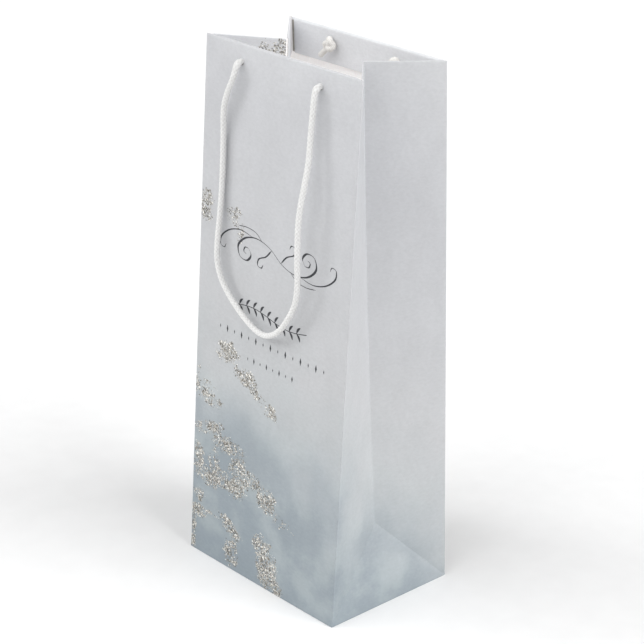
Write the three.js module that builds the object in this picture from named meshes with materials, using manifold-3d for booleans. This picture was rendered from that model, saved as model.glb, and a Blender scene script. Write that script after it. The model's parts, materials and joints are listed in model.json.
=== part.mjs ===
// Wine gift bag: a square-bottomed paper bag with folded gussets, a turned-in hem stiffened by
// two card strips, a loose base card and two knotted cord handles.
// Millimetres. +Z up, the front panel faces -Y, origin at the middle of the base.

import * as THREE from 'three';
import { mergeVertices } from 'three/addons/utils/BufferGeometryUtils.js';
import Module from 'manifold-3d';

const wasm = await Module();
wasm.setup();

// Driving dimensions of the bag
const WIDTH = 127;
const DEPTH = 92;
const HEIGHT = 318;
const MOUTH_DEPTH = 62;
const FOLD_HEIGHT = 46;
const APEX_INSET = 14;
const MOUTH_INSET = 32.5;
const CREASE_BOW = 1.9;
const CREASE_DIP = 2;
const HEM_HEIGHT = 20.5;

// Sheet thicknesses and the clearance kept between neighbouring sheets
const PAPER = 0.5;
const CARD = 1.2;
const BASE_CARD = 1.5;
const GAP = 0.3;
const CREASE_GAP = 0.2;

// Cords, their knots and the punched holes
const CORD = 3.4;
const HOLE = 4.2;
const HOLE_SPACING = { front: 64, back: 52 };
const HOLE_DROP = 10;
const HINGE_STANDOFF = 4;
const KNOT = { width: 8.4, depth: 6.6, tail: 10 };
const CORD_SIDES = 8;
const CORD_STEPS = 76;

// The front handle as it hangs, from its left hole to its right one: distance from the bag's
// middle, drop below the holes, and distance of the cord's centre from the panel's face. The
// back handle is narrower.
const HANDLE_ROUTE = [
  [-32, 2.1, 4.1],
  [-32.4, 5, 4.6],
  [-33.6, 9.5, 5],
  [-37.5, 18, 5.1],
  [-40.5, 27, 4.6],
  [-42, 43, 3],
  [-42, 60, 2.8],
  [-42.2, 76, 2.8],
  [-42.4, 93, 3.6],
  [-42.5, 108, 4.5],
  [-41.3, 117, 5],
  [-38, 125, 5],
  [-32.5, 132, 4.8],
  [-25, 138, 4.8],
  [-15.5, 143.8, 5],
  [-4.5, 148, 5.3],
  [4, 147.8, 5.7],
  [13.5, 142.5, 6.3],
  [22.5, 131.5, 7],
  [28, 121, 7.6],
  [29.9, 111, 8.2],
  [30.2, 95.5, 9.4],
  [30.6, 75, 10.3],
  [31.6, 63, 10],
  [32.5, 53, 9],
  [32.9, 40, 7.2],
  [32.4, 25, 6],
  [32.4, 10, 5.2],
  [32.2, 5, 4.7],
  [32, 2.1, 4.1],
];

// Values that follow from the driving dimensions
const HALF_WIDTH = WIDTH / 2;
const HALF_DEPTH = DEPTH / 2;
const LEAN = Math.atan((HALF_DEPTH - MOUTH_DEPTH / 2) / HEIGHT);
const WALL_LENGTH = HEIGHT / Math.cos(LEAN);
const FOLD_LENGTH = FOLD_HEIGHT / Math.cos(LEAN);
const HOLE_LEVEL = WALL_LENGTH - HOLE_DROP;
const CARD_LAYER = PAPER + GAP;
const HEM_LAYER = CARD_LAYER + CARD + GAP;
const KNOT_LAYER = HEM_LAYER + PAPER + GAP;

const PRINTED = { color: 0xc9ccd3, roughness: 0.75, metalness: 0 };
const LINING = { color: 0xf1f0ee, roughness: 0.8, metalness: 0 };
const GREY_CARD = { color: 0xc4c0b8, roughness: 0.9, metalness: 0 };
const ROPE = { color: 0xeeece8, roughness: 0.85, metalness: 0 };

const bag = new THREE.Group();

function addMesh(parent, name, geometry, finish) {
  const mesh = new THREE.Mesh(geometry, new THREE.MeshStandardMaterial(finish));
  mesh.name = name;
  parent.add(mesh);
}

// ---------------------------------------------------------------- closed solids

function signedVolume(positions, triangles) {
  let volume = 0;
  for (const [a, b, c] of triangles) {
    volume += positions[a].dot(positions[b].clone().cross(positions[c]));
  }
  return volume / 6;
}

// A closed solid from shared corners, with its faces turned outwards whatever their order.
function closedSolid(positions, triangles) {
  const flip = signedVolume(positions, triangles) < 0;
  const index = triangles.flatMap(([a, b, c]) => (flip ? [a, c, b] : [a, b, c]));
  const geometry = new THREE.BufferGeometry().setFromPoints(positions);
  geometry.setIndex(index);
  return geometry;
}

// A thin closed sheet between two grids of corners, rows by columns.
function sheetBetween(outer, inner) {
  const rows = outer.length;
  const columns = outer[0].length;
  const positions = [...outer.flat(), ...inner.flat()];
  const at = (layer, row, column) => (layer * rows + row) * columns + column;
  const triangles = [];
  const quad = (a, b, c, d) => triangles.push([a, b, c], [a, c, d]);
  for (let r = 0; r < rows - 1; r++) {
    for (let c = 0; c < columns - 1; c++) {
      quad(at(0, r, c), at(0, r, c + 1), at(0, r + 1, c + 1), at(0, r + 1, c));
      quad(at(1, r, c), at(1, r + 1, c), at(1, r + 1, c + 1), at(1, r, c + 1));
    }
    quad(at(0, r, 0), at(0, r + 1, 0), at(1, r + 1, 0), at(1, r, 0));
    const last = columns - 1;
    quad(at(0, r + 1, last), at(0, r, last), at(1, r, last), at(1, r + 1, last));
  }
  for (let c = 0; c < columns - 1; c++) {
    quad(at(0, 0, c + 1), at(0, 0, c), at(1, 0, c), at(1, 0, c + 1));
    const end = rows - 1;
    quad(at(0, end, c), at(0, end, c + 1), at(1, end, c + 1), at(1, end, c));
  }
  return closedSolid(positions, triangles);
}

// A flat convex facet of paper: every edge is drawn in by its own inset, and the thickness
// grows towards the inside of the bag.
function facet(corners, insets, thickness) {
  const across = corners[1].clone().sub(corners[0]).normalize();
  const normal = across.clone().cross(corners[2].clone().sub(corners[0])).normalize();
  const middle = corners.reduce((sum, p) => sum.add(p), new THREE.Vector3()).divideScalar(corners.length);
  const inside = new THREE.Vector3(0, 0, middle.z).sub(middle);
  const inward = normal.clone().multiplyScalar(Math.sign(normal.dot(inside)));
  const lines = corners.map((start, i) => {
    const along = corners[(i + 1) % corners.length].clone().sub(start).normalize();
    const aside = normal.clone().cross(along);
    if (aside.dot(middle.clone().sub(start)) < 0) aside.negate();
    return { point: start.clone().addScaledVector(aside, insets[i]), along, aside };
  });
  const outer = lines.map((line, i) => {
    const before = lines[(i + lines.length - 1) % lines.length];
    const reach = before.aside.dot(before.point.clone().sub(line.point)) / before.aside.dot(line.along);
    return line.point.clone().addScaledVector(line.along, reach);
  });
  const inner = outer.map((p) => p.clone().addScaledVector(inward, thickness));
  const count = outer.length;
  const triangles = [];
  for (let i = 1; i < count - 1; i++) {
    triangles.push([0, i, i + 1], [count, count + i + 1, count + i]);
  }
  for (let i = 0; i < count; i++) {
    const next = (i + 1) % count;
    triangles.push([i, count + i, count + next], [i, count + next, next]);
  }
  return closedSolid([...outer, ...inner], triangles);
}

// A flat sheet in the XZ plane, y from 0 to its thickness, punched for the cords if it has a
// hole spacing.
function wallSheet(halfWidth, bottom, top, thickness, holeSpacing = 0) {
  const shape = new THREE.Shape();
  shape.moveTo(-halfWidth, bottom);
  shape.lineTo(halfWidth, bottom);
  shape.lineTo(halfWidth, top);
  shape.lineTo(-halfWidth, top);
  shape.closePath();
  for (const side of holeSpacing > 0 ? [-1, 1] : []) {
    const hole = new THREE.Path();
    hole.absarc((side * holeSpacing) / 2, HOLE_LEVEL, HOLE / 2, 0, 2 * Math.PI, true);
    shape.holes.push(hole);
  }
  const options = { depth: thickness, bevelEnabled: false, curveSegments: 12 };
  const geometry = new THREE.ExtrudeGeometry(shape, options);
  geometry.rotateX(Math.PI / 2);
  geometry.translate(0, thickness, 0);
  return geometry;
}

function toManifold(geometry) {
  const bare = geometry.clone();
  bare.deleteAttribute('normal');
  bare.deleteAttribute('uv');
  const merged = mergeVertices(bare, 1e-4);
  const mesh = new wasm.Mesh({
    numProp: 3,
    vertProperties: new Float32Array(merged.attributes.position.array),
    triVerts: new Uint32Array(merged.index.array),
  });
  return new wasm.Manifold(mesh);
}

function fromManifold(solid) {
  const { vertProperties, triVerts } = solid.getMesh();
  const geometry = new THREE.BufferGeometry();
  geometry.setAttribute('position', new THREE.BufferAttribute(new Float32Array(vertProperties), 3));
  geometry.setIndex(new THREE.BufferAttribute(new Uint32Array(triVerts), 1));
  return geometry;
}

// ---------------------------------------------------------------- front and back walls

// The knot inside the hem, the cord's stretch through the hole and its rounded end on the
// handle's swing axis, turned about Y; the tail is joined to the knot.
function knotGeometry(side) {
  const radius = CORD / 2;
  const profile = [new THREE.Vector2(0, -HINGE_STANDOFF - radius)];
  for (let i = 1; i <= 6; i++) {
    const turn = (i / 6) * (Math.PI / 2);
    profile.push(new THREE.Vector2(radius * Math.sin(turn), -HINGE_STANDOFF - radius * Math.cos(turn)));
  }
  const centre = KNOT_LAYER + KNOT.depth / 2;
  const meet = Math.asin(radius / (KNOT.width / 2));
  for (let i = 0; i <= 12; i++) {
    const turn = meet + ((Math.PI - meet) * i) / 12;
    const across = i === 12 ? 0 : (KNOT.width / 2) * Math.sin(turn);
    profile.push(new THREE.Vector2(across, centre - (KNOT.depth / 2) * Math.cos(turn)));
  }
  const body = new THREE.LatheGeometry(profile, 20);
  const tail = new THREE.CapsuleGeometry(radius, KNOT.tail, 6, 12);
  tail.translate(0, KNOT.tail / 2, 0);
  const heading = new THREE.Vector3(0.35 * side, 0.45, -0.82).normalize();
  const turn = new THREE.Quaternion().setFromUnitVectors(new THREE.Vector3(0, 1, 0), heading);
  tail.applyQuaternion(turn);
  tail.translate(0, centre, 0);
  return fromManifold(toManifold(body).add(toManifold(tail)));
}

function handleGeometry(holeSpacing) {
  const narrowing = holeSpacing / HOLE_SPACING.front;
  const points = HANDLE_ROUTE.map(
    ([x, drop, away]) => new THREE.Vector3(x * narrowing, -away, HOLE_LEVEL - drop),
  );
  const route = new THREE.CatmullRomCurve3(points, false, 'centripetal');
  const section = new THREE.Shape();
  for (let i = 0; i < CORD_SIDES; i++) {
    const turn = (i / CORD_SIDES) * 2 * Math.PI;
    const x = (CORD / 2) * Math.cos(turn);
    const y = (CORD / 2) * Math.sin(turn);
    if (i === 0) section.moveTo(x, y);
    else section.lineTo(x, y);
  }
  section.closePath();
  return new THREE.ExtrudeGeometry(section, { steps: CORD_STEPS, extrudePath: route, bevelEnabled: false });
}

// Everything on one leaning wall, in the wall's own frame: x across, z up the wall, y inwards.
function buildWall(name, turned) {
  const side = new THREE.Group();
  side.rotation.z = turned ? Math.PI : 0;
  bag.add(side);
  const wall = new THREE.Group();
  wall.position.y = -HALF_DEPTH;
  wall.rotation.x = -LEAN;
  side.add(wall);

  const hemBottom = WALL_LENGTH - HEM_HEIGHT;
  const floorTrim = 0.05;
  const spacing = HOLE_SPACING[name];
  const band = wallSheet(HALF_WIDTH, floorTrim, FOLD_LENGTH - CREASE_GAP, PAPER);
  addMesh(wall, `${name}_lower_band`, band, PRINTED);
  const panel = wallSheet(HALF_WIDTH, FOLD_LENGTH + CREASE_GAP, WALL_LENGTH, PAPER, spacing);
  addMesh(wall, `${name}_panel`, panel, PRINTED);
  const card = wallSheet(HALF_WIDTH - 4.5, hemBottom + 0.5, WALL_LENGTH - 0.8, CARD, spacing);
  card.translate(0, CARD_LAYER, 0);
  addMesh(wall, `${name}_hem_card`, card, GREY_CARD);
  const hem = wallSheet(HALF_WIDTH - 5.5, hemBottom, WALL_LENGTH - 0.2, PAPER, spacing);
  hem.translate(0, HEM_LAYER, 0);
  addMesh(wall, `${name}_hem`, hem, PRINTED);

  for (const [label, sign] of [['left', -1], ['right', 1]]) {
    const knot = knotGeometry(sign);
    knot.translate((sign * spacing) / 2, 0, HOLE_LEVEL);
    addMesh(wall, `${name}_knot_${label}`, knot, ROPE);
  }
  addMesh(wall, `${name}_handle_cord`, handleGeometry(spacing), ROPE);
  return wall;
}

// The strip that joins the sheet into a tube, glued inside the back panel beside one corner.
function buildSeam(wall) {
  const seamWidth = 14;
  const middle = HALF_WIDTH - 3 - seamWidth / 2;
  const top = WALL_LENGTH - HEM_HEIGHT - 1;
  const strip = wallSheet(seamWidth / 2, FOLD_LENGTH + 1, top, PAPER);
  strip.translate(middle, CARD_LAYER, 0);
  addMesh(wall, 'back_seam_strip', strip, LINING);
}

// ---------------------------------------------------------------- gussets

const depthAt = (z) => HALF_DEPTH - Math.tan(LEAN) * z;

// One twisted half of a gusset, between the corner edge and the middle crease, which dips at
// the mouth. The sheet keeps its distance from both, and lies "layer" inside the print.
function gussetSheet(signX, signY, zLow, zHigh, fromCorner, layer) {
  const creaseAt = (z) => {
    const climb = (z - FOLD_HEIGHT) / (HEIGHT - FOLD_HEIGHT);
    const bow = CREASE_BOW * 4 * climb * (1 - climb);
    const inset = APEX_INSET + (MOUTH_INSET - APEX_INSET) * climb + bow;
    return new THREE.Vector3(signX * (HALF_WIDTH - inset), 0, z - CREASE_DIP * climb);
  };
  const cornerAt = (z) => new THREE.Vector3(signX * HALF_WIDTH, signY * depthAt(z), z);
  const rows = 17;
  const columns = 6;
  const outer = [];
  const inner = [];
  for (let r = 0; r < rows; r++) {
    const z = zLow + ((zHigh - zLow) * r) / (rows - 1);
    const corner = cornerAt(z);
    const crease = creaseAt(z);
    const across = crease.clone().sub(corner);
    const span = across.length();
    across.normalize();
    const up = creaseAt(z + 1).sub(crease).add(cornerAt(z + 1).sub(corner));
    const inward = across.clone().cross(up).normalize();
    if (inward.x * signX > 0) inward.negate();
    outer.push([]);
    inner.push([]);
    for (let c = 0; c < columns; c++) {
      const reach = fromCorner + ((span - CREASE_GAP - fromCorner) * c) / (columns - 1);
      const point = corner.clone().addScaledVector(across, reach);
      outer[r].push(point.clone().addScaledVector(inward, layer));
      inner[r].push(point.clone().addScaledVector(inward, layer + PAPER));
    }
  }
  return sheetBetween(outer, inner);
}

function buildGusset(sideName, signX) {
  const apex = new THREE.Vector3(signX * (HALF_WIDTH - APEX_INSET), 0, FOLD_HEIGHT);
  const foot = (signY) => new THREE.Vector3(signX * HALF_WIDTH, signY * HALF_DEPTH, 0);
  const triangle = facet([foot(-1), foot(1), apex], [0.05, 0.6, 0.6], PAPER);
  addMesh(bag, `${sideName}_base_triangle`, triangle, PRINTED);

  for (const [wallName, signY] of [['front', -1], ['back', 1]]) {
    const edge = new THREE.Vector3(signX * HALF_WIDTH, signY * depthAt(FOLD_HEIGHT), FOLD_HEIGHT);
    const corner = facet([foot(signY), apex, edge], [CREASE_GAP, CREASE_GAP, 1.8], PAPER);
    addMesh(bag, `${sideName}_${wallName}_corner_facet`, corner, PRINTED);
    const lowest = FOLD_HEIGHT + CREASE_GAP;
    const sheet = gussetSheet(signX, signY, lowest, HEIGHT, 1.9, 0);
    addMesh(bag, `${sideName}_gusset_${wallName}`, sheet, PRINTED);
    const hem = gussetSheet(signX, signY, HEIGHT - HEM_HEIGHT, HEIGHT - 0.2, 6.8, PAPER + GAP);
    addMesh(bag, `${sideName}_gusset_hem_${wallName}`, hem, PRINTED);
  }
}

// ---------------------------------------------------------------- base

// A flat flap of the base from its outline, lying at the given height.
function flap(points, height, thickness) {
  const shape = new THREE.Shape(points.map(([x, y]) => new THREE.Vector2(x, y)));
  const geometry = new THREE.ExtrudeGeometry(shape, { depth: thickness, bevelEnabled: false });
  geometry.translate(0, 0, height);
  return geometry;
}

function buildBase() {
  const x = HALF_WIDTH - 1.8;
  const y = HALF_DEPTH - 1;
  const mitre = 22;
  const reach = 56 - y;
  const layer = PAPER + GAP;
  for (const [name, sign, level] of [['back', 1, 0], ['front', -1, layer]]) {
    const edge = sign * y;
    const end = -sign * reach;
    const outline = [[-x, edge], [-x + mitre, end], [x - mitre, end], [x, edge]];
    addMesh(bag, `base_${name}_flap`, flap(outline, level, PAPER), PRINTED);
  }
  for (const [name, sign] of [['right', 1], ['left', -1]]) {
    const inner = x - HALF_DEPTH + 4;
    const outline = [[sign * x, -y + 0.4], [sign * x, y - 0.4], [sign * inner, 6], [sign * inner, -6]];
    addMesh(bag, `base_${name}_flap`, flap(outline, 2 * layer, PAPER), LINING);
  }
  const cardX = HALF_WIDTH - 3.5;
  const cardY = HALF_DEPTH - 1.6;
  const cardOutline = [[-cardX, -cardY], [cardX, -cardY], [cardX, cardY], [-cardX, cardY]];
  addMesh(bag, 'base_card', flap(cardOutline, 3 * layer, BASE_CARD), GREY_CARD);
}

buildWall('front', false);
buildSeam(buildWall('back', true));
buildGusset('right', 1);
buildGusset('left', -1);
buildBase();

export default bag;
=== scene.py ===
"""Wine gift bag: paper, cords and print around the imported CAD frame. Metres, +Z up, front at -Y."""

import json
import math

import bmesh  # noqa: E402
import bpy  # noqa: E402
from mathutils import Matrix, Vector  # noqa: E402


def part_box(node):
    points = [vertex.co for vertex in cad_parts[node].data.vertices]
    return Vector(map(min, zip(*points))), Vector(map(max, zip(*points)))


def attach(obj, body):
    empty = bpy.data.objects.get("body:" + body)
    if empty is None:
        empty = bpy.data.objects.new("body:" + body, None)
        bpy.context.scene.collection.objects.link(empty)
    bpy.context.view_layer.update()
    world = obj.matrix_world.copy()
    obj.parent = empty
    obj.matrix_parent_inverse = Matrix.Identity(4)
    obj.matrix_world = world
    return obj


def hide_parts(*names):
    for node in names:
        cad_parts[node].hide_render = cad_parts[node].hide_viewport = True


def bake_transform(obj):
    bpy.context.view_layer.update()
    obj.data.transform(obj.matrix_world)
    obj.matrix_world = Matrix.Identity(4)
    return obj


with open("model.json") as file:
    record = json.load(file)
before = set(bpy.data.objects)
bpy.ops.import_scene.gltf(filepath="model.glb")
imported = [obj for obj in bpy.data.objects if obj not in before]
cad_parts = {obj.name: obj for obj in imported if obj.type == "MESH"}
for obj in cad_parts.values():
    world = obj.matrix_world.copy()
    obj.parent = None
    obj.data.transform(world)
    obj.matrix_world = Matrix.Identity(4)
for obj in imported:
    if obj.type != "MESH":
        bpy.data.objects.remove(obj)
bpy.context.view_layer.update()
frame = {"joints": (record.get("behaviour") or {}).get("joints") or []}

MM = 0.001
SIDES = {"front": -1, "back": 1}
HANDS = {"right": 1, "left": -1}

# ---------- dimensions, from the frame

JOINTS = {joint["name"]: joint for joint in frame["joints"]}
HALF_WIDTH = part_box("front_panel")[1].x
HALF_DEPTH = -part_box("front_lower_band")[0].y
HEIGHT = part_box("right_gusset_front")[1].z
FOLD_DEPTH = -JOINTS["mouth_squeeze"]["pos_m"][1]
FOLD_HEIGHT = JOINTS["mouth_squeeze"]["pos_m"][2]
APEX_X = JOINTS["right_front_gusset_fold"]["pos_m"][0]
SLOPE = (HALF_DEPTH - FOLD_DEPTH) / FOLD_HEIGHT
LEAN = math.atan(SLOPE)
HEM_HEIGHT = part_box("front_hem")[1].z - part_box("front_hem")[0].z
HEM_CARD_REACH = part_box("front_hem_card")[1].x

MOUTH_CREASE_X = 31 * MM
CREASE_BOW = 1.9 * MM
CREASE_DIP = 2.0 * MM
PAPER = 0.35 * MM
FOLD_RADIUS = 0.4 * MM
WALL_BOW = 0.7 * MM
WALL_HEM = 2.6 * MM
GUSSET_HEM = 0.9 * MM
HOLE_RADIUS = 1.85 * MM
HOLE_X = {-1: 32 * MM, 1: 26 * MM}
HOLE_DROP = 10 * MM
KNOT_LIFT = {-1: 1.9 * MM, 1: 0.7 * MM}
KNOT_ASIDE = 1.7 * MM
KNOT_SEAT = 2.7 * MM
CORD = 3.4 * MM

# ---------- camera

# Angles in degrees, the azimuth from the front towards the right
VIEW = {
    "azimuth": 47.24,
    "elevation": 22.63,
    "roll": 0.92,
    "distance": 1.20558,
    "right": 0.00334,
    "up": 0.14373,
}
LENS = 111.6
SENSOR = 36


def bearing(azimuth, elevation):
    """The unit vector towards a direction given in degrees."""
    turn = math.radians(azimuth)
    rise = math.radians(elevation)
    flat = math.cos(rise)
    return Vector((math.sin(turn) * flat, -math.cos(turn) * flat, math.sin(rise)))


def add_camera():
    back = bearing(VIEW["azimuth"], VIEW["elevation"])
    level = Vector((0, 0, 1)).cross(back).normalized()
    roll = Matrix.Rotation(math.radians(VIEW["roll"]), 3, back)
    right = roll @ level
    up = back.cross(right)
    data = bpy.data.cameras.new("camera")
    data.lens = LENS
    data.sensor_width = SENSOR
    data.clip_end = 20
    camera = bpy.data.objects.new("camera", data)
    bpy.context.scene.collection.objects.link(camera)
    turn = Matrix((right, up, back)).transposed().to_4x4()
    place = back * VIEW["distance"] + right * VIEW["right"] + up * VIEW["up"]
    camera.matrix_world = Matrix.Translation(place) @ turn
    bpy.context.scene.camera = camera


# ---------- node helpers


class Nodes:
    """A short way to build a material's node tree."""

    def __init__(self, name):
        self.material = bpy.data.materials.new(name)
        self.material.use_nodes = True
        self.tree = self.material.node_tree
        self.shader = self.tree.nodes["Principled BSDF"]

    def add(self, kind, settings=None, **inputs):
        node = self.tree.nodes.new(kind)
        for key, value in (settings or {}).items():
            setattr(node, key, value)
        for key, value in inputs.items():
            self.feed(node, key.replace("_", " "), value)
        return node

    def feed(self, node, name, value):
        socket = node.inputs[int(name)] if name.isdigit() else node.inputs[name]
        if isinstance(value, bpy.types.NodeSocket):
            self.tree.links.new(value, socket)
        else:
            socket.default_value = value

    def math(self, operation, first, second=0.0, third=0.0):
        node = self.add("ShaderNodeMath", {"operation": operation})
        for index, value in enumerate((first, second, third)):
            self.feed(node, str(index), value)
        return node.outputs[0]

    def position(self):
        return self.add("ShaderNodeTexCoord").outputs["Object"]

    def scaled(self, scale):
        """The position, stretched along each axis by its own factor."""
        node = self.add("ShaderNodeVectorMath", {"operation": "MULTIPLY"})
        self.feed(node, "0", self.position())
        self.feed(node, "1", scale)
        return node.outputs["Vector"]

    def noise(self, vector, scale, detail=3.0, roughness=0.5):
        settings = {"Vector": vector, "Scale": scale, "Detail": detail, "Roughness": roughness}
        return self.add("ShaderNodeTexNoise", **settings).outputs["Fac"]

    def cells(self, vector, scale):
        return self.add("ShaderNodeTexVoronoi", Vector=vector, Scale=scale).outputs["Color"]

    def ramp(self, factor, stops):
        node = self.add("ShaderNodeValToRGB", Fac=factor)
        points = node.color_ramp.elements
        while len(points) < len(stops):
            points.new(0.5)
        for point, (place, colour) in zip(points, stops):
            point.position = place
            point.color = (*colour, 1)
        return node.outputs["Color"]

    def span(self, value, low, high, out_low=0.0, out_high=1.0, smooth=False):
        kind = "SMOOTHSTEP" if smooth else "LINEAR"
        node = self.add("ShaderNodeMapRange", {"interpolation_type": kind}, Value=value)
        limits = {"From Min": low, "From Max": high, "To Min": out_low, "To Max": out_high}
        for name, limit in limits.items():
            self.feed(node, name, limit)
        return node.outputs["Result"]

    def mix(self, factor, first, second):
        node = self.add("ShaderNodeMix", {"data_type": "RGBA"})
        self.feed(node, "0", factor)
        self.feed(node, "6", first)
        self.feed(node, "7", second)
        return node.outputs[2]

    def dim(self, colour, factor):
        """A colour, darkened or lightened by a factor."""
        node = self.add("ShaderNodeVectorMath", {"operation": "SCALE"})
        self.feed(node, "0", colour)
        self.feed(node, "Scale", factor)
        return node.outputs["Vector"]

    def bump(self, height, strength, distance, normal=None):
        node = self.add("ShaderNodeBump", Height=height, Strength=strength, Distance=distance)
        if normal is not None:
            self.feed(node, "Normal", normal)
        return node.outputs["Normal"]

    def finish(self, **inputs):
        for key, value in inputs.items():
            self.feed(self.shader, key.replace("_", " "), value)
        return self.material


def rgb(red, green, blue):
    """A linear colour from display values of 11 to 255."""
    return tuple((((value / 255) + 0.055) / 1.055) ** 2.4 for value in (red, green, blue))


# ---------- materials

# Painted light: the share of its own colour with which paper glows on its inner side and cut edges,
# standing in for daylight coming through the paper
PAINTED_GLOW = 0.23

# The wash, by height above the base in millimetres, before the lights
WASH = [
    (0, rgb(139, 149, 156)),
    (56, rgb(143, 152, 158)),
    (80, rgb(157, 164, 169)),
    (100, rgb(172, 177, 180)),
    (124, rgb(181, 184, 186)),
    (165, rgb(187, 188, 190)),
    (300, rgb(191, 192, 195)),
    (400, rgb(204, 205, 207)),
]
PALE_STAIN = rgb(186, 193, 193)
# Painted light: how much lighter the turned-in hem's print is made, so the bag's shaded inside looks lit
PAINTED_INSIDE_LIGHT = 1.15
# Glitter flake colours, dark grey to near white at random per flake: the flakes' grey tones, with
# painted glints on the lightest
FLAKES = [
    (0.0, rgb(84, 80, 74)),
    (0.25, rgb(124, 121, 114)),
    (0.55, rgb(160, 157, 151)),
    (0.82, rgb(196, 193, 186)),
    (0.96, rgb(250, 247, 240)),
]
# Glitter drifts on the walls: across, height, half length and half width in millimetres, tilt in
# degrees, density
GLITTER_WALL = [
    (-57, 219, 6, 8, 10, 0.8),
    (-33, 219, 6, 5, 0, 1.0),
    (-28, 210, 6, 3, 70, 0.6),
    (-35, 137, 9, 6, 10, 1.0),
    (-19, 127, 9, 5, -15, 1.0),
    (-8, 119, 9, 3, -30, 0.6),
    (4, 112, 5, 4, -20, 0.8),
    (-52, 106, 12, 6, -12, 0.75),
    (-61, 112, 3, 7, 0, 0.7),
    (-50, 84, 13, 4, 16, 0.7),
    (-31, 78, 13, 5, -4, 0.9),
    (-22, 68, 6, 9, 10, 0.9),
    (-59, 60, 5, 10, 0, 1.0),
    (-44, 66, 5, 6, 0, 0.7),
    (-42, 54, 15, 6, 12, 1.1),
    (-22, 58, 10, 9, 10, 1.0),
    (-6, 63, 10, 5, -20, 0.8),
    (4, 56, 8, 7, -25, 0.95),
    (17, 47, 10, 4, -25, 0.5),
    (-57, 38, 5, 4, 0, 0.9),
    (-57, 27, 7, 3.5, 0, 1.1),
    (-61.5, 15, 2.6, 14, 0, 1.1),
    (-45, 29, 11, 1.2, -4, 0.8),
    (-28, 27, 11, 4, -26, 1.0),
    (-26, 11, 6, 8, 10, 0.75),
    (2, 24, 8, 8, 0, 0.95),
    (6, 13, 8, 11, -10, 1.15),
    (13, 4, 6, 6, -20, 0.9),
]
# The same on the left gusset and inside its hem, with the distance from the front edge first
GLITTER_SIDE = [
    (43.5, 310, 5.5, 7, 60, 1.1),
    (33, 262, 7, 9, 40, 0.8),
    (18, 196, 8, 6, 0, 0.8),
    (30, 121, 10, 6, 20, 0.9),
    (12, 92, 9, 7, -20, 1.0),
    (20, 44, 12, 8, 10, 1.0),
    (60, 58, 12, 6, 0, 0.9),
    (76, 21, 8, 9, 80, 1.0),
]


def drift(nodes, across, height, shape):
    """How strongly one glitter drift covers a point, 1 in its middle and falling past 0."""
    x, z, length, width, tilt, density = shape
    turn = math.radians(tilt)
    dx = nodes.math("SUBTRACT", across, x * MM)
    dz = nodes.math("SUBTRACT", height, z * MM)
    along = nodes.math("MULTIPLY_ADD", dx, math.cos(turn), nodes.math("MULTIPLY", dz, math.sin(turn)))
    aside = nodes.math("MULTIPLY_ADD", dz, math.cos(turn), nodes.math("MULTIPLY", dx, -math.sin(turn)))
    u = nodes.math("DIVIDE", along, length * MM)
    v = nodes.math("DIVIDE", aside, width * MM)
    reach = nodes.math("MULTIPLY_ADD", u, u, nodes.math("MULTIPLY", v, v))
    return nodes.math("MULTIPLY", nodes.span(reach, 0.0, 1.9, 1.0, 0.0), density)


def drifts(nodes, across, height, shapes):
    total = 0.0
    for shape in shapes:
        total = nodes.math("MAXIMUM", drift(nodes, across, height, shape), total)
    return total


def wash_colour(nodes, where, axes):
    """The watercolour wash, which rises towards the right and round the bag's sides."""
    x, y, z = axes
    cloud = nodes.noise(where, 15.0, 4.0, 0.55)
    height = nodes.math("MULTIPLY_ADD", nodes.math("SUBTRACT", cloud, 0.5), 0.11, z)
    height = nodes.math("MULTIPLY_ADD", x, 0.2, height)
    height = nodes.math("MULTIPLY_ADD", nodes.math("ADD", y, HALF_DEPTH), 0.8, height)
    wash = nodes.ramp(nodes.span(height, 0.0, 0.4), [(level / 400, colour) for level, colour in WASH])
    stains = nodes.noise(nodes.scaled((1, 1, 1.15)), 30.0, 4.0, 0.55)
    pale = nodes.span(stains, 0.46, 0.68, 0.0, 0.3, True)
    pale = nodes.math("MULTIPLY", pale, nodes.span(height, 0.2, 0.07))
    stained = nodes.mix(pale, wash, (*PALE_STAIN, 1))
    bloom = nodes.noise(nodes.scaled((1, 1, 0.6)), 52.0, 5.0, 0.6)
    tooth = nodes.noise(nodes.scaled((0.75, 0.75, 1.25)), 560.0, 3.0, 0.65)
    bloomed = nodes.dim(stained, nodes.span(bloom, 0.3, 0.7, 0.965, 1.03))
    return nodes.dim(bloomed, nodes.span(tooth, 0.3, 0.7, 0.955, 1.04))


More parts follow.
